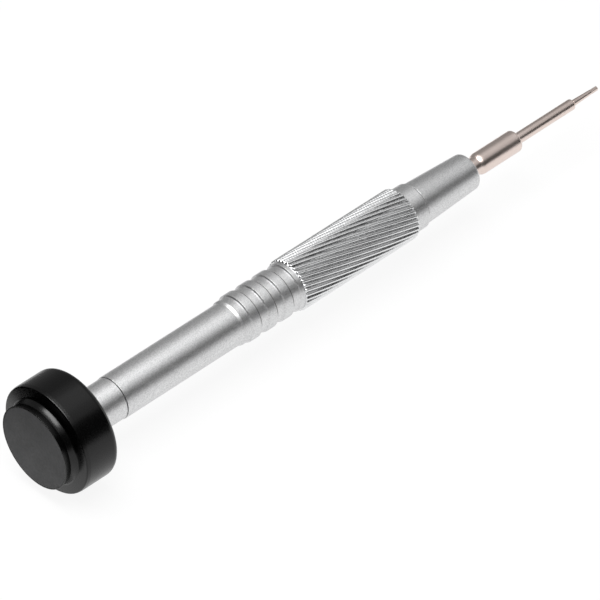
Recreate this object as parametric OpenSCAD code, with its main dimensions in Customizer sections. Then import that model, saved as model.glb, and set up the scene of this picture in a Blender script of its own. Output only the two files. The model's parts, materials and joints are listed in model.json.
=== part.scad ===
// Precision screwdriver with a fluted metal handle and a finger cap that turns freely on a ball bearing.
// The tool lies along +X with its tip towards +X. The origin is the centre of the cap's end face.

/* [Cap] */
// Outer diameter of the cap
cap_d = 19.8; // [18:0.1:26]
// Length of the cap along the tool
cap_len = 9.5; // [9:0.25:14]
// Diameter of the raised end of the cap
cap_end_d = 15.2; // [14:0.1:16.4]
// Height of the straight wall between the end face and the cove
cap_wall_h = 0.9; // [0.5:0.1:2]
// Slope of the cove where it leaves the wall, in degrees from the tool's axis
cove_start = 20; // [5:1:35]
// Slope of the cove where it meets the rim, in degrees from the tool's axis
cove_stop = 87; // [65:1:90]
// Height of the bevel on the rim's edge
cap_bevel_h = 0.1; // [0.05:0.01:0.2]
// Length of that bevel along the tool
cap_bevel_len = 0.7; // [0.4:0.05:1]
// Rounding of the cap's front edge
cap_round = 1.1; // [0.4:0.1:1.4]
// Thickness of the rim round the cover disc
cap_rim = 0.2; // [0.15:0.05:0.6]
// Thickness of the cap's rear wall
cap_back_t = 1.9; // [1.2:0.1:2.4]
// Gap between the turning cap and the fixed ferrule
cap_gap = 0.3; // [0.2:0.05:0.6]
// Thickness of the cover disc
cover_t = 0.8; // [0.5:0.1:1.2]
// Length of the cover's spigot
cover_spigot_len = 1.2; // [0.6:0.1:1.4]
// Wall thickness of the cover's spigot
cover_spigot_t = 0.8; // [0.5:0.1:1.2]

/* [Bearing] */
// Bore of the ball bearing
bearing_bore = 4; // [3.6:0.1:4.4]
// Outer diameter of the ball bearing
bearing_od = 11; // [10.6:0.1:11.6]
// Width of the ball bearing
bearing_w = 4; // [3.6:0.1:4.6]
// Diameter of a ball
ball_d = 2; // [1.8:0.05:2.2]
// Gap between the shoulders of the two races
race_gap = 1.3; // [1.1:0.05:1.5]
// Wall thickness of the ball cage
cage_t = 0.5; // [0.3:0.05:0.6]
// Thickness of a shield
shield_t = 0.2; // [0.15:0.05:0.3]
// Thickness of the retaining ring
circlip_t = 0.5; // [0.3:0.05:0.7]
// Radial width of the retaining ring
circlip_w = 1.1; // [0.8:0.05:1.2]
// Depth of the retaining ring's groove
circlip_groove = 0.3; // [0.2:0.05:0.5]

/* [Spindle screw] */
// Diameter of the screw's shank
screw_d = 2.5; // [2:0.1:2.8]
// Length of the screw's shank
screw_len = 8; // [6:0.5:12]
// Diameter of the screw's head
screw_head_d = 4.6; // [4:0.1:5.4]
// Height of the screw's head
screw_head_h = 1; // [0.8:0.05:1.2]
// Thickness of the washer under the head
washer_t = 0.4; // [0.3:0.05:0.6]

/* [Ferrule] */
// Diameter of the ferrule behind the cap
ferrule_d = 7.55; // [7:0.05:9]
// Visible length of the ferrule
ferrule_len = 7.2; // [5:0.1:12]
// Diameter of the ferrule's spigot in the handle
ferrule_spigot_d = 5.4; // [4.6:0.1:6]
// Length of the ferrule's spigot
ferrule_spigot_len = 6; // [4:0.5:10]

/* [Handle] */
// Diameter of the plain tail
tail_d = 7.8; // [7.2:0.05:8.2]
// Length of the plain tail
tail_len = 25.2; // [15:0.1:40]
// Length of the flare between the tail and the ring band
flare_len = 0.9; // [0.4:0.1:2]
// Diameter of the band that carries the rings
band_d = 8.28; // [8.2:0.02:8.6]
// Length of bare band before the first ring
band_len = 1.4; // [0.6:0.1:3]
// Diameter of the finger rings
ring_d = 8.84; // [8.7:0.02:9]
// Width of a finger ring
ring_w = 1.74; // [1:0.02:2.4]
// Distance from one ring to the next
ring_pitch = 3.65; // [3:0.05:5]
// Number of finger rings
ring_count = 3; // [1:1:6]
// Width of the shoulder between the rings and the grip
shoulder_len = 0.8; // [0.4:0.1:2]
// Diameter of the fluted grip
grip_d = 9.6; // [9.4:0.05:12]
// Length of the fluted grip
grip_len = 26.3; // [16:0.1:40]
// Number of helical flutes
flute_count = 34; // [24:1:40]
// Depth of a flute
flute_depth = 0.28; // [0.15:0.01:0.35]
// Turn of the flutes along the grip, in degrees per millimetre
flute_twist = 3; // [0:0.1:5]
// Diameter of the collar in front of the grip
front_d = 8.4; // [8:0.05:8.8]
// Length of the collar in front of the grip
front_len = 2.85; // [1.5:0.05:5]
// Bevel on the turned edges
edge = 0.1; // [0.05:0.01:0.15]

/* [Nose] */
// Diameter of the nose where it meets the handle
nose_d = 7.8; // [7.2:0.05:8]
// Diameter of the nose at its front
nose_tip_d = 6.66; // [5.5:0.02:7.2]
// Length of the nose
nose_len = 13; // [8:0.1:20]
// Rounding of the nose's front edge
nose_round = 0.5; // [0.2:0.05:1]
// Diameter of the nose's spigot in the handle
nose_spigot_d = 5.4; // [4.6:0.1:6]
// Length of the nose's spigot
nose_spigot_len = 7; // [4:0.5:10]

/* [Bit] */
// Diameter of the shank that is pressed into the nose
shank_d = 3; // [2.6:0.05:3.2]
// Length of the shank inside the nose
shank_len = 11; // [6:0.5:16]
// Diameter of the neck between the nose and the collar
neck_d = 3.24; // [3.2:0.02:3.6]
// Length of the neck
neck_len = 2; // [1:0.1:4]
// Diameter of the collar
collar_d = 4; // [3.8:0.05:5]
// Length of the collar
collar_len = 9.6; // [6:0.1:14]
// Radius of the collar's swept rear shoulder
collar_sweep = 1.5; // [0.8:0.1:1.6]
// Rounding of the collar's front edge
collar_round = 0.5; // [0.2:0.05:0.7]
// Radius of the half-round relief groove at the root of the stem
relief_r = 0.15; // [0.1:0.01:0.2]
// Diameter of the stem
stem_d = 2; // [1.8:0.05:2.4]
// Length of the stem
stem_len = 13.9; // [8:0.1:24]
// Rounding of the stem's front edge
stem_round = 0.35; // [0.1:0.05:0.4]
// Diameter of the tip's shaft at the stem
tip_d = 1.04; // [0.96:0.02:1.2]
// Diameter of the lobed point
point_d = 0.86; // [0.8:0.02:0.94]
// Length of the tip from the stem to its end
tip_len = 6.1; // [4:0.1:10]
// Length of the lobed point
point_len = 2.4; // [1:0.1:3]
// Number of lobes
lobe_count = 5; // [5:1:6]

/* [Hidden] */
$fn = 96;
ball_count = 7;
fit = 0.02;
ball_play = 0.02;
cage_play = 0.3;
pocket_play = 0.06;
shield_inset = 0.1;
shield_gap = 0.15;
shield_seat = 0.4;
clamp_inset = 0.2;
blind_gap = 0.3;
overlap = 0.5;
cut = 0.01;
flute_land = 0.2;
flute_root = 0.3;
grip_bevel_len = 0.25;
twist_step = 5.5;
cove_steps = 10;
screw_slot_w = 0.5;
screw_slot_depth = 0.5;
circlip_mouth = 3;
lobe_share = 0.34;
undercut_len = 0.3;
undercut_depth = 0.08;

// Stations along the tool
ferrule_x = cap_len + cap_gap;
tail_x = ferrule_x + ferrule_len;
flare_x = tail_x + tail_len;
band_x = flare_x + flare_len;
ring_x = band_x + band_len;
shoulder_x = ring_x + ring_count * ring_pitch;
grip_x = shoulder_x + shoulder_len;
front_x = grip_x + grip_len;
nose_x = front_x + front_len;
neck_x = nose_x + nose_len;
collar_x = neck_x + neck_len;
stem_x = collar_x + collar_len;
tip_x = stem_x + stem_len;
end_x = tip_x + tip_len;
point_x = end_x - point_len;

// The bearing's seat in the cap and the stack that clamps its inner race
bearing_end_x = cap_len - cap_back_t;
bearing_x = bearing_end_x - bearing_w;
bearing_mid_x = bearing_x + bearing_w / 2;
washer_x = bearing_x - washer_t;
head_x = washer_x - screw_head_h;
circlip_x = bearing_x - circlip_t;

// Radii inside the bearing
bore_r = bearing_bore / 2;
seat_r = bearing_od / 2;
pitch_r = (bore_r + seat_r) / 2;
inner_shoulder_r = pitch_r - race_gap / 2;
outer_shoulder_r = pitch_r + race_gap / 2;
shield_r = outer_shoulder_r + shield_seat;
clamp_r = inner_shoulder_r - clamp_inset;
shield_depth = shield_inset + shield_t;
cage_w = bearing_w - 2 * (shield_depth + cage_play);

// Radii of the cap
cap_r = cap_d / 2;
cap_end_r = cap_end_d / 2;
cap_bevel_r = cap_r - cap_bevel_h;
cove_r = (cap_bevel_r - cap_end_r) / (cos(cove_start) - cos(cove_stop));
cove_end_x = cap_wall_h + cove_r * (sin(cove_stop) - sin(cove_start));
cover_r = cap_end_r - cap_rim;
groove_r = seat_r + circlip_groove;
tip_r = tip_d / 2;
point_r = point_d / 2;

// Turns a half profile, drawn as (radius, station), into a solid along +X
module turned() {
    rotate([0, 90, 0])
        rotate_extrude()
            children();
}

// Half profile of a plain bar
module bar(r, x0, x1) {
    translate([0, x0])
        square([r, x1 - x0]);
}

// What a rounding of radius f takes off the corner at (r, x), towards the front or the rear
module corner(r, x, f, front) {
    translate([r - f, front ? x - f : x + f])
        mirror([0, front ? 0 : 1])
            difference() {
                square(f + cut);
                circle(f);
            }
}

// Outline of one turned ring with bevelled edges
function ring_points(x) = [
    [band_d / 2, x],
    [ring_d / 2 - edge, x],
    [ring_d / 2, x + edge],
    [ring_d / 2, x + ring_w - edge],
    [ring_d / 2 - edge, x + ring_w],
    [band_d / 2, x + ring_w]
];

// Tail, flare and finger rings, up to and a little into the grip
module barrel_rear() {
    turned()
        polygon(concat(
            [
                [0, tail_x],
                [tail_d / 2 - edge, tail_x],
                [tail_d / 2, tail_x + edge],
                [tail_d / 2, flare_x],
                [band_d / 2, band_x]
            ],
            [for (i = [0:ring_count - 1]) each ring_points(ring_x + i * ring_pitch)],
            [
                [band_d / 2, shoulder_x],
                [ring_d / 2 - edge, shoulder_x],
                [ring_d / 2, shoulder_x + edge],
                [ring_d / 2, grip_x + overlap],
                [0, grip_x + overlap]
            ]
        ));
}

// Collar in front of the grip
module barrel_front() {
    turned()
        polygon([
            [0, front_x - overlap],
            [front_d / 2, front_x - overlap],
            [front_d / 2, nose_x - edge],
            [front_d / 2 - edge, nose_x],
            [0, nose_x]
        ]);
}

// Stations of the grip's cross sections: a bevel at each end and even steps of twist between
function grip_steps() = max(4, ceil(flute_twist * grip_len / twist_step));
function grip_stations() = concat(
    [0],
    [for (i = [0:grip_steps()]) grip_bevel_len + i * (grip_len - 2 * grip_bevel_len) / grip_steps()],
    [grip_len]
);

// Corners of one flute: land start, land end, root start and root end, as shares of a flute and depths
flute_corners = [
    [-flute_land / 2, 0],
    [flute_land / 2, 0],
    [0.5 - flute_root / 2, 1],
    [0.5 + flute_root / 2, 1]
];

// One corner of the grip at station x, from the flute's number and the corner's number
function grip_point(x, flute, corner) =
    let (
        at_end = x <= 0 || x >= grip_len,
        crest = grip_d / 2 - (at_end ? flute_depth : 0),
        depth = at_end ? 0 : flute_depth,
        r = crest - depth * flute_corners[corner][1],
        turn = (flute + flute_corners[corner][0]) * 360 / flute_count + flute_twist * x
    )
    [grip_x + x, r * cos(turn), r * sin(turn)];

// Solid with helical flutes, built of rings of corners and closed by a fan at each end
module fluted_grip() {
    stations = grip_stations();
    corners = len(flute_corners);
    per_ring = flute_count * corners;
    last = len(stations) - 1;
    rear_centre = per_ring * len(stations);
    points = concat(
        [for (x = stations) for (f = [0:flute_count - 1]) for (c = [0:corners - 1]) grip_point(x, f, c)],
        [[grip_x, 0, 0], [front_x, 0, 0]]
    );
    sides = [
        for (s = [0:last - 1])
            for (i = [0:per_ring - 1])
                let (
                    a = s * per_ring + i,
                    b = s * per_ring + (i + 1) % per_ring
                )
                each [[a, a + per_ring, b + per_ring], [a, b + per_ring, b]]
    ];
    ends = [
        for (i = [0:per_ring - 1])
            let (
                j = (i + 1) % per_ring,
                front = last * per_ring
            )
            each [[rear_centre, i, j], [rear_centre + 1, front + j, front + i]]
    ];
    polyhedron(points, concat(sides, ends));
}

module handle_barrel() {
    color("silver")
        difference() {
            union() {
                barrel_rear();
                fluted_grip();
                barrel_front();
            }
            turned()
                bar(ferrule_spigot_d / 2 + fit, tail_x - cut, tail_x + ferrule_spigot_len + blind_gap);
            turned()
                bar(nose_spigot_d / 2 + fit, nose_x - nose_spigot_len - blind_gap, nose_x + cut);
        }
}

module nose_sleeve() {
    color("lightgray")
        turned()
            difference() {
                union() {
                    polygon([
                        [0, nose_x],
                        [nose_d / 2, nose_x],
                        [nose_tip_d / 2, neck_x],
                        [0, neck_x]
                    ]);
                    bar(nose_spigot_d / 2, nose_x - nose_spigot_len, nose_x + cut);
                }
                bar(shank_d / 2 + fit, neck_x - shank_len - blind_gap, neck_x + cut);
                corner(nose_tip_d / 2, neck_x, nose_round, true);
            }
}

// Straight stretches of the bit, from the shank to the tip's shaft
module bit_bars() {
    bar(shank_d / 2, neck_x - shank_len, neck_x + cut);
    bar(neck_d / 2, neck_x, collar_x + collar_sweep);
    difference() {
        bar(collar_d / 2, collar_x - collar_sweep / 3, stem_x);
        corner(collar_d / 2, collar_x - collar_sweep / 3, collar_sweep, false);
        corner(collar_d / 2, stem_x, collar_round, true);
    }
    difference() {
        bar(stem_d / 2, stem_x - cut, tip_x);
        translate([stem_d / 2, stem_x + relief_r])
            circle(relief_r);
        corner(stem_d / 2, tip_x, stem_round, true);
    }
    bar(tip_r - undercut_depth, tip_x - cut, tip_x + undercut_len + cut);
    polygon([
        [0, tip_x + undercut_len],
        [tip_r, tip_x + undercut_len],
        [point_r - lobe_share * point_r / 2, point_x + cut],
        [0, point_x + cut]
    ]);
}

// Lobed point: round lobes on a round core
module bit_point() {
    lobe_r = lobe_share * point_r;
    translate([point_x, 0, 0])
        rotate([0, 90, 0])
            linear_extrude(point_len)
                union() {
                    circle(point_r - lobe_r);
                    for (i = [0:lobe_count - 1])
                        rotate(i * 360 / lobe_count)
                            translate([point_r - lobe_r, 0])
                                circle(lobe_r);
                }
}

module bit() {
    color("gainsboro")
        union() {
            turned()
                bit_bars();
            bit_point();
        }
}

// Visible ferrule with its spigot in the handle, and the post that carries the bearing
module rear_ferrule() {
    color("lightgray")
        turned()
            difference() {
                union() {
                    bar(bore_r - fit, bearing_x + blind_gap, bearing_end_x + cut);
                    bar(clamp_r, bearing_end_x, ferrule_x + cut);
                    bar(ferrule_d / 2, ferrule_x, tail_x);
                    bar(ferrule_spigot_d / 2, tail_x - cut, tail_x + ferrule_spigot_len);
                }
                bar(screw_d / 2 + fit, bearing_x, washer_x + screw_len + blind_gap);
            }
}

module spindle_screw() {
    color("dimgray")
        difference() {
            turned() {
                bar(screw_head_d / 2, head_x, washer_x);
                bar(screw_d / 2, washer_x - cut, washer_x + screw_len);
            }
            for (turn = [0, 90])
                rotate([turn, 0, 0])
                    translate([head_x - cut, -screw_head_d / 4, -screw_slot_w / 2])
                        cube([screw_slot_depth + cut, screw_head_d / 2, screw_slot_w]);
        }
}

module spindle_washer() {
    color("silver")
        turned()
            difference() {
                bar(clamp_r, washer_x, bearing_x);
                bar(screw_d / 2 + fit, washer_x - cut, bearing_x + cut);
            }
}

// One corner of the cove, where its slope has the given angle
function cove_point(slope) = [
    cap_end_r + cove_r * (cos(cove_start) - cos(slope)),
    cap_wall_h + cove_r * (sin(slope) - sin(cove_start))
];

// Outer half profile of the cap: raised end, wall, cove, bevelled rim and outer wall
module cap_outline() {
    polygon(concat(
        [[0, 0], [cap_end_r, 0]],
        [for (i = [0:cove_steps]) cove_point(cove_start + (cove_stop - cove_start) * i / cove_steps)],
        [
            [cap_r, cove_end_x + cap_bevel_len],
            [cap_r, cap_len],
            [0, cap_len]
        ]
    ));
}

// Cap with the cover's recess, the bearing's seat and the rear opening
module cap_shell() {
    color([0.06, 0.06, 0.06])
        turned()
            difference() {
                cap_outline();
                corner(cap_r, cap_len, cap_round, true);
                bar(cover_r, -cut, cover_t);
                bar(seat_r + fit, 0, bearing_end_x);
                bar(groove_r, circlip_x, bearing_x);
                bar(shield_r, bearing_end_x - cut, bearing_end_x + shield_depth);
                bar(clamp_r + cap_gap, bearing_end_x, cap_len + cut);
            }
}

module cap_cover() {
    color([0.3, 0.3, 0.3])
        turned() {
            bar(cover_r - fit, 0, cover_t);
            translate([seat_r - cover_spigot_t, cover_t - cut])
                square([cover_spigot_t - fit, cover_spigot_len + cut]);
        }
}

// Split ring that holds the bearing in its seat
module cap_circlip() {
    color("gray")
        difference() {
            turned()
                translate([groove_r - circlip_w, circlip_x + fit])
                    square([circlip_w - fit, circlip_t - fit]);
            translate([circlip_x - cut, -circlip_mouth / 2, -groove_r])
                cube([circlip_t + 2 * cut, circlip_mouth, groove_r]);
        }
}

// Groove that the balls run in
module race_groove() {
    translate([pitch_r, bearing_mid_x])
        circle(ball_d / 2 + ball_play);
}

module bearing_inner_race() {
    color("silver")
        turned()
            difference() {
                translate([bore_r, bearing_x])
                    square([inner_shoulder_r - bore_r, bearing_w]);
                race_groove();
            }
}

module bearing_outer_race() {
    color("silver")
        turned()
            difference() {
                translate([outer_shoulder_r, bearing_x])
                    square([seat_r - outer_shoulder_r, bearing_w]);
                race_groove();
                bar(shield_r, bearing_x - cut, bearing_x + shield_depth);
                bar(shield_r, bearing_end_x - shield_depth, bearing_end_x + cut);
            }
}

// Thin disc that closes one side of the bearing
module shield(x) {
    color("darkgray")
        turned()
            translate([inner_shoulder_r + shield_gap, x])
                square([shield_r - fit - inner_shoulder_r - shield_gap, shield_t - fit]);
}

module bearing_shield_front() {
    shield(bearing_x + shield_inset);
}

module bearing_shield_rear() {
    shield(bearing_end_x - shield_depth + fit);
}

// Places a child at one ball's centre
module at_ball(i) {
    rotate([i * 360 / ball_count, 0, 0])
        translate([bearing_mid_x, 0, pitch_r])
            children();
}

module bearing_ball(i) {
    color("silver")
        at_ball(i)
            sphere(d = ball_d);
}

// Cage ring with a pocket for each ball
module bearing_cage() {
    color("goldenrod")
        difference() {
            turned()
                translate([pitch_r - cage_t / 2, bearing_mid_x - cage_w / 2])
                    square([cage_t, cage_w]);
            for (i = [1:ball_count])
                at_ball(i)
                    sphere(d = ball_d + 2 * pocket_play);
        }
}

handle_barrel();
nose_sleeve();
bit();
rear_ferrule();
spindle_screw();
spindle_washer();
cap_shell();
cap_cover();
cap_circlip();
bearing_inner_race();
bearing_outer_race();
bearing_shield_front();
bearing_shield_rear();
bearing_cage();
for (i = [1:ball_count]) {
    bearing_ball(i);
}
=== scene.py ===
"""Looks of a precision screwdriver: the dressed pieces, their finishes, the studio and the camera.

The tool lies along +X with its tip towards +X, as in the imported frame. Lengths are in millimetres until a mesh is
written, which is in metres. An outline is a list of (station along X, radius, edge rounding).
"""

import json
import math

import bpy
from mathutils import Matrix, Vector


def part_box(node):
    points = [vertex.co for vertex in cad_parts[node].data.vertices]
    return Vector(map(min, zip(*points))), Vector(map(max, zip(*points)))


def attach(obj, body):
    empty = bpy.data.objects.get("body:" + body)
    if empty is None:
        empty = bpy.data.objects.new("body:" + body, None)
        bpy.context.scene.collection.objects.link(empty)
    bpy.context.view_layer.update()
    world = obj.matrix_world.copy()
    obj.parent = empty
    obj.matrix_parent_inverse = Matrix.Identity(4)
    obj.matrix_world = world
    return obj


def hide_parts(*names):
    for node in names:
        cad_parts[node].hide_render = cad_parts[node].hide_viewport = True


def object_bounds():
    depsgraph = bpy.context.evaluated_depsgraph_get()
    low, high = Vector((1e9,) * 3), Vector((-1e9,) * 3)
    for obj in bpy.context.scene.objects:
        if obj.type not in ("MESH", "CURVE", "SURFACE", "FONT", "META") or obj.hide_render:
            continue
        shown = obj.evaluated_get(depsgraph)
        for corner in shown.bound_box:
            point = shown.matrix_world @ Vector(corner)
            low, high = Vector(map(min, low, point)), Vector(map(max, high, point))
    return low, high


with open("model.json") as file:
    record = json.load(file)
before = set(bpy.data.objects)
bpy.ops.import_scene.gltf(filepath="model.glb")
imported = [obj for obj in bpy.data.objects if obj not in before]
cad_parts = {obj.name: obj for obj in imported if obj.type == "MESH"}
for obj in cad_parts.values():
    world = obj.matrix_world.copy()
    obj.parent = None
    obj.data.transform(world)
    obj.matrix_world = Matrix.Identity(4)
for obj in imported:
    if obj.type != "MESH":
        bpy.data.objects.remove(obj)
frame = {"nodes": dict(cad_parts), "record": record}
cad_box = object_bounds()

MM = 0.001


def extent(node):
    """First station, last station and radius of a CAD node, in millimetres."""
    low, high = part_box(node)
    return low.x / MM, high.x / MM, high.z / MM


# Stations and radii that the frame gives
cap_x, cap_end, cap_r = extent("cap_shell")
cover_x, cover_end, cover_r = extent("cap_cover")
post_x, ferrule_end, ferrule_r = extent("rear_ferrule")
tail_x, nose_x, grip_r = extent("handle_barrel")
spigot_x, neck_x, nose_r = extent("nose_sleeve")
shank_x, end_x, collar_r = extent("bit")
_, bearing_end, seat_r = extent("bearing_outer_race")
circlip_x, circlip_end, _ = extent("cap_circlip")

# Cap
cap_end_r = 7.6
cap_wall_h = 1.1
cap_undercut = 0.15
cove_x = 2.1
cove_r = 7.72
cove_start = math.radians(4)
fillet_x = 2.31
fillet_r = 8.0
cap_rim_x = 2.54
cap_bevel_h = 0.1
cap_bevel_len = 0.7
cap_edge = 0.25
cap_round = 1.1
groove_r = 5.8
recess_r = 4.8
recess_depth = 0.3
recess_end = bearing_end + recess_depth
cap_gap = 0.3
cover_t = 0.8
cover_edge = 0.07
cover_spigot_t = 0.8

# Fits and edges
fit = 0.02
blind_gap = 0.3
edge = 0.1
fine_edge = 0.05

# Ferrule
ferrule_x = cap_end + cap_gap
post_r = 1.98
clamp_r = 2.9
screw_hole_r = 1.27
screw_hole_end = 11.5
spigot_r = 2.7
seam_gap = 0.1

# Tail, finger rings and shoulder of the handle
tail_r = 3.9
tail_len = 25.5
flare_x = tail_x + tail_len
flare_len = 0.42
band_r = 4.14
ring_start = 27.5
ring_x = tail_x + ring_start
ring_r = 4.42
ring_w = 1.74
ring_pitch = 3.65
ring_count = 3
lip_len = 0.2
lip_h = 0.02
step_len = 0.16
relief_w = 0.15
relief_d = 0.12
shoulder_x = ring_x + ring_count * ring_pitch
shoulder_len = 0.8

# Grip and its flutes
grip_x = shoulder_x + shoulder_len
front_r = 4.2
front_len = 2.85
front_x = nose_x - front_len
flute_count = 34
flute_depth = 0.29
flute_twist = math.radians(3.0)
flute_land = 0.32
flute_bow = 1.2
flute_bevel = 0.3
root_r = grip_r - flute_depth

# Nose and bit
nose_gap = 0.26
nose_tip_r = 3.33
nose_round = 0.5
shank_r = 1.5
neck_r = 1.62
neck_len = 2.0
collar_x = neck_x + neck_len
collar_sweep = 1.5
collar_lead = collar_sweep / 3
collar_round = 0.5
collar_len = 9.6
stem_x = collar_x + collar_len
stem_r = 1.0
stem_round = 0.35
relief_r = 0.15
tip_len = 6.1
tip_x = end_x - tip_len
tip_r = 0.56
undercut_len = 0.25
undercut_r = 0.47
point_len = 1.6
point_x = end_x - point_len
point_r = 0.43
point_core = 0.36
lobe_count = 5

# Mesh resolution
LATHE_COLUMNS = 256
FLUTE_COLUMNS = 10
LOBE_COLUMNS = 20
ARC_STEPS = 5
CURVE_STEPS = 14
RELIEF_STEPS = 10
BEVEL_STEPS = 4
GRIP_STEP = 1.2
LONGEST_ROW = 2.0
SUPPORT = 0.03
SHORTEST_SPAN = 4 * SUPPORT
SHARP_ANGLE = math.radians(38)
FLATTEST_CORNER = math.radians(88)
TRIM_SHARE = 0.48
TINY = 1e-6

# Texture scales: a noise spot's share of a texture unit, and the length of a wave at scale 1
NOISE_SPOT = 0.5
WAVE_LENGTH = 0.314

# Floor and sky, in metres
floor_z = cad_box[0].z
floor_size = 8.0
floor_tone = 0.86
floor_roughness = 0.9
floor_white_share = 0.9
sky_strength = 0.45

# Cards that bow over the tool, in metres and in degrees above the floor, from the camera's side to the far side
BOW_STEPS = 16
card_radius = 0.8
card_x = -1.5
card_end = 2.5
card_step = 0.0005
card_z = floor_z + card_step
dark_from, dark_to = 1, 50
dark_tone = 0.03
side_to = 72
side_tone = 0.7
back_from, back_to = 108, 122
back_tone = 0.5
rear_to = 179
rear_edge_y = 0.045
rear_tone = 0.26

# Cards across the tool behind its cap and beyond its tip, in metres
cap_card_x = -0.014
cap_card_z = card_z + card_step
cap_card_end = -0.6
cap_card_top = 0.9
cap_card_half = 0.8
cap_card_slant = 0.3
cap_card_tone = 0.0
tip_card_x = 0.38
tip_card_top = 0.5
tip_card_half = 0.36
tip_card_tone = 0.44

# Lamp, in metres
lamp_place = (-0.08, 0.0, 0.56)
lamp_target = (-0.03, 0.0, 0.0)
lamp_across = 0.5
lamp_along = 0.26
lamp_radiance = 8.8

# Camera, in metres, degrees and millimetres of lens
view_target = (0.05925, 0.0001, -0.00499)
view_azimuth = 44.06
view_elevation = 41.66
view_distance = 0.95
lens_length = 343.46
sensor_width = 36
clip_near = 0.01
clip_far = 20


# Outlines

def rounded_corner(before, corner, after):
    """Points of the arc that replaces an outline's corner."""
    x, r, rounding = corner
    here = Vector((x, r))
    back = Vector(before[:2]) - here
    ahead = Vector(after[:2]) - here
    if rounding <= 0 or back.length < TINY or ahead.length < TINY:
        return [(x, r)]
    half = back.angle(ahead) / 2
    if half > FLATTEST_CORNER:
        return [(x, r)]
    trim = min(rounding / math.tan(half), back.length * TRIM_SHARE, ahead.length * TRIM_SHARE)
    radius = trim * math.tan(half)
    centre = here + (back.normalized() + ahead.normalized()).normalized() * (radius / math.sin(half))
    start = here + back.normalized() * trim - centre
    finish = here + ahead.normalized() * trim - centre
    sweep = start.angle_signed(finish)
    points = []
    for i in range(ARC_STEPS + 1):
        turn = -sweep * i / ARC_STEPS
        spoke = Vector((
            start.x * math.cos(turn) - start.y * math.sin(turn),
            start.x * math.sin(turn) + start.y * math.cos(turn),
        ))
        points.append(tuple(centre + spoke))
    return points


def arc(centre_x, centre_r, radius, start, end, steps=CURVE_STEPS):
    """Outline points on a round profile, from one angle to another in degrees."""
    angles = [math.radians(start + (end - start) * i / steps) for i in range(steps + 1)]
    return [(centre_x + radius * math.cos(a), centre_r + radius * math.sin(a), 0) for a in angles]


def bowed(start, end, slope, steps=CURVE_STEPS):
    """Outline points on the arc that leaves its start at a slope from the axis and runs to its end."""
    chord = Vector(end) - Vector(start)
    sweep = 2 * (math.atan2(chord.y, chord.x) - slope)
    radius = chord.length / 2 / math.sin(sweep / 2)
    turns = [slope + sweep * i / steps for i in range(steps + 1)]
    return [(
        start[0] + radius * (math.sin(turn) - math.sin(slope)),
        start[1] + radius * (math.cos(slope) - math.cos(turn)),
        0,
    ) for turn in turns]


def rows_of(outline, closed):
    """Rounds an outline's corners and adds rows, so that smooth shading stays true beside each edge."""
    count = len(outline)
    points = []
    for i, corner in enumerate(outline):
        if closed or 0 < i < count - 1:
            points += rounded_corner(outline[i - 1], corner, outline[(i + 1) % count])
        else:
            points.append(corner[:2])
    rows = []
    following = points[1:] + points[:1] if closed else points[1:]
    for (x0, r0), (x1, r1) in zip(points, following):
        rows.append((x0, r0))
        length = math.hypot(x1 - x0, r1 - r0)
        if length < SHORTEST_SPAN:
            continue
        parts = math.ceil(length / LONGEST_ROW)
        shares = [SUPPORT / length] + [i / parts for i in range(1, parts)] + [1 - SUPPORT / length]
        rows += [(x0 + (x1 - x0) * s, r0 + (r1 - r0) * s) for s in shares]
    if not closed:
        rows.append(points[-1])
    return rows


def step_outline(x):
    """A raised lip and the bevelled step from the band up to a ring."""
    return [
        (x - step_len / 2 - lip_len, band_r, 0),
        (x - step_len / 2, band_r + lip_h, 0),
        (x + step_len / 2, ring_r, fine_edge),
    ]


def ring_outline(x):
    """One finger ring on the band, with a fine groove behind it."""
    return step_outline(x) + [
        (x + ring_w, ring_r, fine_edge),
        (x + ring_w, band_r, 0),
        (x + ring_w + relief_w, band_r, 0),
        (x + ring_w + relief_w, band_r - relief_d, 0),
        (x + ring_w + 2 * relief_w, band_r - relief_d, 0),
        (x + ring_w + 2 * relief_w, band_r, 0),
    ]


def grip_outline():
    """The grip's crests in even steps, with finer steps in the bevel at each end."""
    length = front_x - grip_x
    steps = math.ceil(length / GRIP_STEP)
    stations = [grip_x + length * i / steps for i in range(1, steps)]
    bevel = [flute_bevel * i / BEVEL_STEPS for i in range(1, BEVEL_STEPS + 1)]
    outline = [(grip_x + b, grip_r, 0) for b in bevel]
    outline += [(x, grip_r, 0) for x in stations if grip_x + flute_bevel < x < front_x - flute_bevel]
    outline += [(front_x - b, grip_r, 0) for b in reversed(bevel)]
    return outline


def barrel_outline():
    """Handle from the ferrule's socket over the tail, rings and grip to the nose's socket."""
    outline = [
        (ferrule_end + blind_gap, 0, 0),
        (ferrule_end + blind_gap, spigot_r + fit, 0),
        (tail_x, spigot_r + fit, 0),
        (tail_x, tail_r, fine_edge),
        (flare_x, tail_r, edge),
        (flare_x + flare_len, band_r, edge),
    ]
    for i in range(ring_count):
        outline += ring_outline(ring_x + i * ring_pitch)
    outline += step_outline(shoulder_x)
    outline += [
        (grip_x, ring_r, 0),
        (grip_x, root_r, 0),
    ]
    outline += grip_outline()
    outline += [
        (front_x, root_r, 0),
        (front_x, front_r, 0),
        (nose_x, front_r, edge),
        (nose_x, spigot_r + fit, 0),
        (spigot_x - blind_gap, spigot_r + fit, 0),
        (spigot_x - blind_gap, 0, 0),
    ]
    return outline


def ferrule_outline():
    """Ferrule with its screw hole, bearing post and spigot in the handle."""
    return [
        (screw_hole_end, 0, 0),
        (screw_hole_end, screw_hole_r, 0),
        (post_x, screw_hole_r, 0),
        (post_x, post_r, edge),
        (bearing_end, post_r, 0),
        (bearing_end, clamp_r, edge),
        (ferrule_x, clamp_r, 0),
        (ferrule_x, ferrule_r, edge),
        (tail_x - seam_gap, ferrule_r, fine_edge),
        (tail_x - seam_gap, spigot_r, 0),
        (ferrule_end, spigot_r, edge),
        (ferrule_end, 0, 0),
    ]


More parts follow.
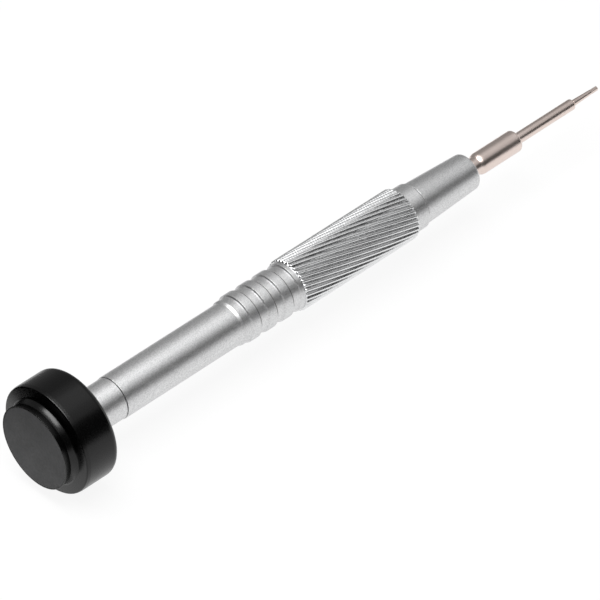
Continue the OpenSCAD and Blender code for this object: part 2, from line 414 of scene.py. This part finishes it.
def nose_outline():
    """Tapered nose with its spigot in the handle and the bit's hole."""
    return [
        (spigot_x, 0, 0),
        (spigot_x, spigot_r, edge),
        (nose_x + nose_gap, spigot_r, 0),
        (nose_x + nose_gap, nose_r, fine_edge),
        (neck_x, nose_tip_r, nose_round),
        (neck_x, shank_r + fit, fine_edge),
        (shank_x - blind_gap, shank_r + fit, 0),
        (shank_x - blind_gap, 0, 0),
    ]


def bit_outline():
    """Bit with its shank, neck, swept collar, stem, tip and point."""
    sweep_x = collar_x - collar_lead + collar_sweep
    sweep_r = collar_r - collar_sweep
    sweep_start = 180 - math.degrees(math.asin((neck_r - sweep_r) / collar_sweep))
    outline = [
        (shank_x, 0, 0),
        (shank_x, shank_r, edge),
        (neck_x, shank_r, 0),
        (neck_x, neck_r, fine_edge),
    ]
    outline += arc(sweep_x, sweep_r, collar_sweep, sweep_start, 90)
    outline += [
        (stem_x, collar_r, collar_round),
        (stem_x, stem_r, 0),
    ]
    outline += arc(stem_x + relief_r, stem_r, relief_r, 180, 360, RELIEF_STEPS)[1:]
    outline += [
        (tip_x, stem_r, stem_round),
        (tip_x, undercut_r, 0),
        (tip_x + undercut_len, undercut_r, 0),
        (tip_x + undercut_len, tip_r, fine_edge),
        (point_x, point_r, 0),
        (point_x + SUPPORT, point_r, 0),
        (end_x, point_r, fine_edge),
        (end_x, 0, 0),
    ]
    return outline


def cap_outline():
    """Closed section of the cap: raised end, cove and rim outside, the seats of the other pieces inside."""
    opening_r = clamp_r + cap_gap
    bore_r = seat_r + fit
    wall_end = (cap_x + cap_wall_h, cap_end_r - cap_undercut)
    cove_end = (cap_x + cove_x, cove_r)
    fillet_start = 2 * math.atan2(cove_end[1] - wall_end[1], cove_end[0] - wall_end[0]) - cove_start
    outline = [
        (cap_x, cover_r + fit, 0),
        (cap_x, cap_end_r, fine_edge),
    ]
    outline += bowed(wall_end, cove_end, cove_start)
    outline += bowed(cove_end, (cap_x + fillet_x, fillet_r), fillet_start)[1:]
    outline += [
        (cap_x + cap_rim_x, cap_r - cap_bevel_h, cap_edge),
        (cap_x + cap_rim_x + cap_bevel_len, cap_r, cap_round),
        (cap_end, cap_r, cap_round),
        (cap_end, opening_r, edge),
        (recess_end, opening_r, 0),
        (recess_end, recess_r, 0),
        (bearing_end, recess_r, 0),
        (bearing_end, bore_r, 0),
        (circlip_end, bore_r, 0),
        (circlip_end, groove_r, 0),
        (circlip_x, groove_r, 0),
        (circlip_x, bore_r, 0),
        (cap_x + cover_t, bore_r, 0),
        (cap_x + cover_t, cover_r + fit, 0),
    ]
    return outline


def cover_outline():
    """End disc of the cap with its ring-shaped spigot."""
    return [
        (cover_x, 0, 0),
        (cover_x, cover_r, cover_edge),
        (cover_x + cover_t, cover_r, 0),
        (cover_x + cover_t, seat_r - fit, 0),
        (cover_end, seat_r - fit, fine_edge),
        (cover_end, seat_r - cover_spigot_t, fine_edge),
        (cover_x + cover_t, seat_r - cover_spigot_t, 0),
        (cover_x + cover_t, 0, 0),
    ]


# Shapes that aren't round

def flute_shape(x, r, share):
    """Radius and twist of the barrel: helical flutes with narrow lands, bevelled at both ends of the grip."""
    along = min(max(x - grip_x, 0), front_x - grip_x)
    twist = flute_twist * along
    if r <= root_r:
        return r, twist
    place = share * flute_count % 1
    off_crest = 2 * min(place, 1 - place)
    across = max(off_crest - flute_land, 0) / (1 - flute_land)
    depth = flute_depth * (1 - (1 - across) ** flute_bow)
    bevel = min(1, along / flute_bevel, (front_x - grip_x - along) / flute_bevel)
    return max(root_r, r - depth - flute_depth * (1 - math.sin(bevel * math.pi / 2))), twist


def lobe_shape(x, r, share):
    """Radius of the bit: round lobes on its point, without a twist."""
    if x < point_x + SUPPORT / 2:
        return r, 0
    wave = 0.5 + 0.5 * math.cos(math.tau * share * lobe_count)
    return r * (point_core + (point_r - point_core) * math.sqrt(wave)) / point_r, 0


# Meshes

def placed(name, data):
    """A new object in the scene."""
    made = bpy.data.objects.new(name, data)
    bpy.context.scene.collection.objects.link(made)
    return made


def faces_between(first, second):
    """Faces between two rings of corners, either of which may be one point on the axis."""
    columns = max(len(first), len(second))
    if columns == 1:
        return []
    faces = []
    for c in range(columns):
        d = (c + 1) % columns
        if len(first) == 1:
            faces.append((first[0], second[d], second[c]))
        elif len(second) == 1:
            faces.append((first[c], first[d], second[0]))
        else:
            faces.append((first[c], first[d], second[d], second[c]))
    return faces


def turned_piece(name, outline, columns=LATHE_COLUMNS, closed=False, shape=None):
    """Mesh object that turns an outline about X.

    shape(x, r, share of a turn), where given, returns the radius and twist to use instead.
    """
    verts, rings = [], []
    for x, r in rows_of(outline, closed):
        if r < TINY:
            rings.append([len(verts)])
            verts.append((x * MM, 0, 0))
            continue
        ring = []
        for c in range(columns):
            share = c / columns
            radius, twist = shape(x, r, share) if shape else (r, 0)
            angle = math.tau * share + twist
            ring.append(len(verts))
            verts.append((x * MM, radius * MM * math.cos(angle), radius * MM * math.sin(angle)))
        rings.append(ring)
    faces = []
    for first, second in zip(rings, rings[1:] + rings[:1] if closed else rings[1:]):
        faces += faces_between(first, second)
    mesh = bpy.data.meshes.new(name)
    mesh.from_pydata(verts, [], faces)
    mesh.validate()
    mesh.shade_smooth()
    mesh.set_sharp_from_angle(angle=SHARP_ANGLE)
    return placed(name, mesh)


def dress(piece, body, node, slot, *materials):
    """Gives a piece its materials and its body, and hides the CAD node it stands for. The argument slot is not
    used.
    """
    for material in materials:
        piece.data.materials.append(material)
    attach(piece, body)
    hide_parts(node)


# Finishes

def grey(tone):
    """A colour without a hue."""
    return (tone, tone, tone)


class Finish:
    """A procedural material: a shader with helpers that add nodes before it."""

    def __init__(self, name, **constants):
        self.material = bpy.data.materials.new(name)
        self.material.use_nodes = True
        self.tree = self.material.node_tree
        self.shader = self.tree.nodes["Principled BSDF"]
        for socket, value in constants.items():
            self.shader.inputs[socket.replace("_", " ")].default_value = value
        self.place = self.node("ShaderNodeTexCoord").outputs["Object"]

    def node(self, kind, inputs=(), **settings):
        """Adds a node. Each input is a constant or the output that drives it."""
        made = self.tree.nodes.new(kind)
        for key, value in settings.items():
            setattr(made, key, value)
        for key, value in dict(inputs).items():
            if isinstance(value, bpy.types.NodeSocket):
                self.tree.links.new(value, made.inputs[key])
            else:
                made.inputs[key].default_value = value
        return made

    def noise(self, size, detail, stretch=(1, 1, 1)):
        """Noise from 0 to 1 whose spots are about size millimetres across."""
        mapped = self.node("ShaderNodeMapping", {"Vector": self.place, "Scale": stretch}).outputs["Vector"]
        inputs = {"Vector": mapped, "Scale": NOISE_SPOT / (size * MM), "Detail": detail}
        return self.node("ShaderNodeTexNoise", inputs).outputs["Fac"]

    def feed_marks(self, pitch):
        """Slightly uneven waves along X, from 0 to 1, at a pitch in millimetres."""
        inputs = {
            "Vector": self.place,
            "Scale": WAVE_LENGTH / (pitch * MM),
            "Distortion": 1.2,
            "Detail": 2.0,
            "Detail Scale": 0.6,
        }
        return self.node("ShaderNodeTexWave", inputs, wave_type="BANDS", bands_direction="X").outputs["Fac"]

    def between(self, driver, low, high, start=0.3, end=0.7):
        """A number that goes from low to high as its driver goes from start to end, where most noise lies."""
        inputs = {"Value": driver, "From Min": start, "From Max": end, "To Min": low, "To Max": high}
        return self.node("ShaderNodeMapRange", inputs).outputs["Result"]

    def mix(self, driver, first, second):
        """A colour between two colours or colour outputs, by a driver from 0 to 1."""
        inputs = {0: driver}
        for key, colour in ((6, first), (7, second)):
            inputs[key] = colour if isinstance(colour, bpy.types.NodeSocket) else (*colour, 1)
        return self.node("ShaderNodeMix", inputs, data_type="RGBA").outputs[2]

    def spotted(self, driver, dark, pale):
        """A colour that follows noise from dark to pale."""
        return self.mix(self.between(driver, 0, 1), dark, pale)

    def edges(self, start=0.51, end=0.56):
        """0 on even surfaces, 1 on outer edges."""
        pointed = self.node("ShaderNodeNewGeometry").outputs["Pointiness"]
        return self.between(pointed, 0, 1, start, end)

    def bump(self, height, depth, normal=None):
        """Normal of a surface whose height runs over depth millimetres."""
        inputs = {"Height": height, "Strength": 1.0, "Distance": depth * MM}
        if normal is not None:
            inputs["Normal"] = normal
        return self.node("ShaderNodeBump", inputs).outputs["Normal"]

    def drive(self, **sockets):
        """Links outputs to the shader and gives the finished material."""
        for socket, output in sockets.items():
            self.tree.links.new(output, self.shader.inputs[socket.replace("_", " ")])
        return self.material


def blasted_aluminium():
    """Bead-blasted handle, nose and ferrule, with paler worn edges."""
    f = Finish("blasted_aluminium", Metallic=1.0)
    grain = f.noise(size=0.15, detail=1)
    fleck = f.noise(size=0.1, detail=0)
    base = f.spotted(fleck, (0.63, 0.632, 0.636), (0.79, 0.792, 0.795))
    worn = f.mix(f.edges(), base, grey(0.8))
    roughness = f.between(grain, 0.39, 0.46)
    return f.drive(Base_Color=worn, Roughness=roughness, Normal=f.bump(grain, depth=0.003))


def painted_groove_shade():
    """Fine grooves behind the rings, coloured darker than the band: painted shade for the shade that falls in the
    grooves.
    """
    f = Finish("painted_groove_shade", Metallic=1.0)
    grain = f.noise(size=0.1, detail=2)
    base = f.spotted(grain, grey(0.24), grey(0.34))
    roughness = f.between(grain, 0.45, 0.6)
    return f.drive(Base_Color=base, Roughness=roughness, Normal=f.bump(grain, depth=0.004))


def cut_aluminium():
    """Milled flutes with feed marks across and drawn lines along."""
    f = Finish("cut_aluminium", Metallic=1.0)
    feed = f.feed_marks(pitch=0.45)
    drawn = f.noise(size=0.08, detail=2, stretch=(0.08, 1, 1))
    base = f.spotted(drawn, (0.74, 0.745, 0.75), (0.86, 0.865, 0.87))
    roughness = f.between(drawn, 0.245, 0.315)
    normal = f.bump(feed, depth=0.008, normal=f.bump(drawn, depth=0.0015))
    return f.drive(Base_Color=base, Roughness=roughness, Normal=normal)


def nickel_plate():
    """Satin plate of the bit, slightly warm and cloudy."""
    f = Finish("nickel_plate", Metallic=1.0)
    cloud = f.noise(size=3, detail=2)
    base = f.spotted(cloud, (0.79, 0.675, 0.62), (0.83, 0.715, 0.665))
    return f.drive(Base_Color=base, Roughness=f.between(cloud, 0.31, 0.35))


def black_anodised():
    """Semi-gloss black of the cap."""
    f = Finish("black_anodised", Specular_IOR_Level=0.34)
    grain = f.noise(size=0.16, detail=3)
    cloud = f.noise(size=4, detail=2)
    base = f.spotted(cloud, grey(0.0003), grey(0.0007))
    roughness = f.between(grain, 0.22, 0.28)
    return f.drive(Base_Color=base, Roughness=roughness, Normal=f.bump(grain, depth=0.002))


def matte_cover():
    """Fine matte grey of the cap's end disc."""
    f = Finish("matte_cover", Specular_IOR_Level=0.3)
    grain = f.noise(size=0.25, detail=3)
    mottle = f.noise(size=1.4, detail=4)
    base = f.spotted(mottle, (0.038, 0.038, 0.039), (0.049, 0.049, 0.05))
    roughness = f.between(grain, 0.5, 0.62)
    return f.drive(Base_Color=base, Roughness=roughness, Normal=f.bump(grain, depth=0.006))


def ground_metal(name, dark, pale, smoothest, stretch=(1, 1, 1)):
    """Steel or brass with fine grinding lines, for the pieces inside the cap."""
    f = Finish(name, Metallic=1.0)
    lines = f.noise(size=0.06, detail=2, stretch=stretch)
    base = f.spotted(lines, dark, pale)
    roughness = f.between(lines, smoothest, smoothest + 0.1)
    return f.drive(Base_Color=base, Roughness=roughness, Normal=f.bump(lines, depth=0.001))


# Studio

def rays_that_see(tree):
    """1 for rays from the camera, from gloss and through glass, else 0."""
    path = tree.nodes.new("ShaderNodeLightPath")
    seen = path.outputs["Is Camera Ray"]
    for other in ("Is Glossy Ray", "Is Transmission Ray"):
        most = tree.nodes.new("ShaderNodeMath")
        most.operation = "MAXIMUM"
        tree.links.new(seen, most.inputs[0])
        tree.links.new(path.outputs[other], most.inputs[1])
        seen = most.outputs["Value"]
    return seen


def mix_shaders(tree, share, first, second, output):
    """Ends a node tree in a mix of two shaders."""
    mixed = tree.nodes.new("ShaderNodeMixShader")
    tree.links.new(share, mixed.inputs["Fac"])
    tree.links.new(first.outputs[0], mixed.inputs[1])
    tree.links.new(second.outputs[0], mixed.inputs[2])
    tree.links.new(mixed.outputs[0], tree.nodes[output].inputs["Surface"])


def white_world():
    """A sky that looks white and lights the scene more softly."""
    world = bpy.data.worlds.new("studio")
    world.use_nodes = True
    tree = world.node_tree
    lighting = tree.nodes["Background"]
    lighting.inputs["Color"].default_value = (1, 1, 1, 1)
    lighting.inputs["Strength"].default_value = sky_strength
    backdrop = tree.nodes.new("ShaderNodeBackground")
    backdrop.inputs["Color"].default_value = (1, 1, 1, 1)
    mix_shaders(tree, rays_that_see(tree), lighting, backdrop, "World Output")
    bpy.context.scene.world = world


def pale_floor():
    """A white floor under the cap that keeps part of the tool's shadow."""
    half = floor_size / 2
    mesh = bpy.data.meshes.new("floor")
    corners = [(x, y, floor_z) for x, y in ((-half, -half), (half, -half), (half, half), (-half, half))]
    mesh.from_pydata(corners, [], [(0, 1, 2, 3)])
    floor = placed("floor", mesh)
    material = bpy.data.materials.new("pale_floor")
    material.use_nodes = True
    tree = material.node_tree
    paper = tree.nodes["Principled BSDF"]
    paper.inputs["Base Color"].default_value = (*grey(floor_tone), 1)
    paper.inputs["Roughness"].default_value = floor_roughness
    paper.inputs["Specular IOR Level"].default_value = 0.0
    glow = tree.nodes.new("ShaderNodeEmission")
    share = tree.nodes.new("ShaderNodeMath")
    share.operation = "MULTIPLY"
    tree.links.new(rays_that_see(tree), share.inputs[0])
    share.inputs[1].default_value = floor_white_share
    mix_shaders(tree, share.outputs["Value"], paper, glow, "Material Output")
    mesh.materials.append(material)


def bow(low, high):
    """Points (y, z) on a round above the tool, from one angle above the floor to another."""
    angles = [math.radians(low + (high - low) * i / BOW_STEPS) for i in range(BOW_STEPS + 1)]
    return [(-card_radius * math.cos(a), card_radius * math.sin(a)) for a in angles]


def card_along(name, profile, tone):
    """A card along the tool, with a profile of (y, z)."""
    studio_card(name, [(x, y, z) for y, z in profile for x in (card_x, card_end)], tone)


def card_across(name, profile, half_width, tone, slant=0.0):
    """A card across the tool, with a profile of (x, z) that slants along X."""
    studio_card(name, [(x + slant * y, y, z) for x, z in profile for y in (-half_width, half_width)], tone)


def studio_card(name, verts, tone):
    """A card, given by pairs of points along it, that only reflections show."""
    faces = [(i, i + 1, i + 3, i + 2) for i in range(0, len(verts) - 2, 2)]
    mesh = bpy.data.meshes.new(name)
    mesh.from_pydata(verts, [], faces)
    card = placed(name, mesh)
    material = bpy.data.materials.new(name)
    material.use_nodes = True
    tree = material.node_tree
    tree.nodes.remove(tree.nodes["Principled BSDF"])
    glow = tree.nodes.new("ShaderNodeEmission")
    glow.inputs["Color"].default_value = (*grey(tone), 1)
    tree.links.new(glow.outputs[0], tree.nodes["Material Output"].inputs["Surface"])
    mesh.materials.append(material)
    card.visible_camera = False
    card.visible_diffuse = False
    card.visible_shadow = False


def aim(item, location, look):
    """Puts a lamp or a camera at a place and turns it to look along a direction."""
    item.location = location
    item.rotation_mode = "QUATERNION"
    item.rotation_quaternion = look.to_track_quat("-Z", "Y")


def softbox():
    """A rectangular lamp of an even brightness, with its sizes across and along the tool."""
    light = bpy.data.lights.new("softbox", "AREA")
    light.shape = "RECTANGLE"
    light.size = lamp_across
    light.size_y = lamp_along
    light.energy = lamp_radiance * math.pi * lamp_across * lamp_along
    aim(placed("softbox", light), lamp_place, Vector(lamp_target) - Vector(lamp_place))


def photo_camera():
    """The photograph's view: azimuth is measured from +Y towards +X, and the camera looks down by elevation."""
    a, e = math.radians(view_azimuth), math.radians(view_elevation)
    look = Vector((math.sin(a) * math.cos(e), math.cos(a) * math.cos(e), -math.sin(e)))
    data = bpy.data.cameras.new("camera")
    data.sensor_width = sensor_width
    data.lens = lens_length
    data.clip_start = clip_near
    data.clip_end = clip_far
    camera = placed("camera", data)
    aim(camera, Vector(view_target) - look * view_distance, look)
    bpy.context.scene.camera = camera


# The dressed pieces
satin = blasted_aluminium()
fluted = cut_aluminium()
# The grooves' darker aluminium is painted shade, standing in for the shade in the grooves behind the rings.
groove = painted_groove_shade()
nickel = nickel_plate()
black = black_anodised()
matte = matte_cover()

barrel = turned_piece("barrel", barrel_outline(), flute_count * FLUTE_COLUMNS, shape=flute_shape)
dress(barrel, "handle", "handle_barrel", "satin_aluminium", satin, fluted, groove)
fluted_index, painted_shade_index = 1, 2
for face in barrel.data.polygons:
    face_x, face_r = face.center.x / MM, face.center.yz.length / MM
    if grip_x < face_x < front_x and face_r > ring_r:
        face.material_index = fluted_index
    # Faces in the grooves below the band, between the rings, get the painted groove shade.
    elif flare_x + flare_len < face_x < grip_x and spigot_r + fit < face_r < band_r - SUPPORT:
        face.material_index = painted_shade_index

ferrule = turned_piece("ferrule", ferrule_outline())
dress(ferrule, "handle", "rear_ferrule", "satin_aluminium", satin)
nose = turned_piece("nose", nose_outline())
dress(nose, "handle", "nose_sleeve", "satin_aluminium", satin)
blade = turned_piece("blade", bit_outline(), lobe_count * LOBE_COLUMNS, shape=lobe_shape)
dress(blade, "handle", "bit", "nickel_steel", nickel)
cap = turned_piece("cap", cap_outline(), closed=True)
dress(cap, "cap", "cap_shell", "black_anodised", black)
cover = turned_piece("cover", cover_outline())
dress(cover, "cap", "cap_cover", "cover_plastic", matte)

# Finishes of the pieces inside the cap, by the record's material slot
inner_finishes = {
    "bearing_steel": ground_metal("bearing_steel", (0.5, 0.5, 0.51), (0.68, 0.68, 0.69), 0.12, (1, 0.1, 0.1)),
    "cage_brass": ground_metal("cage_brass", (0.6, 0.44, 0.18), (0.76, 0.6, 0.3), 0.25),
    "dark_steel": ground_metal("dark_steel", (0.03, 0.03, 0.032), (0.07, 0.07, 0.072), 0.35),
}
for subpart in frame["record"]["subparts"]:
    finish = inner_finishes.get(subpart["material_slot"])
    if finish:
        node = frame["nodes"][subpart["node"]]
        node.data.materials.clear()
        node.data.materials.append(finish)

# Studio, camera and view
bpy.context.scene.view_settings.view_transform = "Standard"
white_world()
pale_floor()
card_along("dark_card", bow(dark_from, dark_to), dark_tone)
card_along("side_card", bow(dark_to, side_to), side_tone)
card_along("back_card", bow(back_from, back_to), back_tone)
rear_profile = bow(back_to, rear_to) + [(card_radius, card_z), (rear_edge_y, card_z)]
card_along("rear_card", rear_profile, rear_tone)
cap_profile = [(cap_card_x, cap_card_z), (cap_card_end, cap_card_z), (cap_card_end, cap_card_top)]
card_across("cap_card", cap_profile, cap_card_half, cap_card_tone, cap_card_slant)
tip_profile = [(tip_card_x, tip_card_top), (card_end, tip_card_top)]
card_across("tip_card", tip_profile, tip_card_half, tip_card_tone)
softbox()
photo_camera()
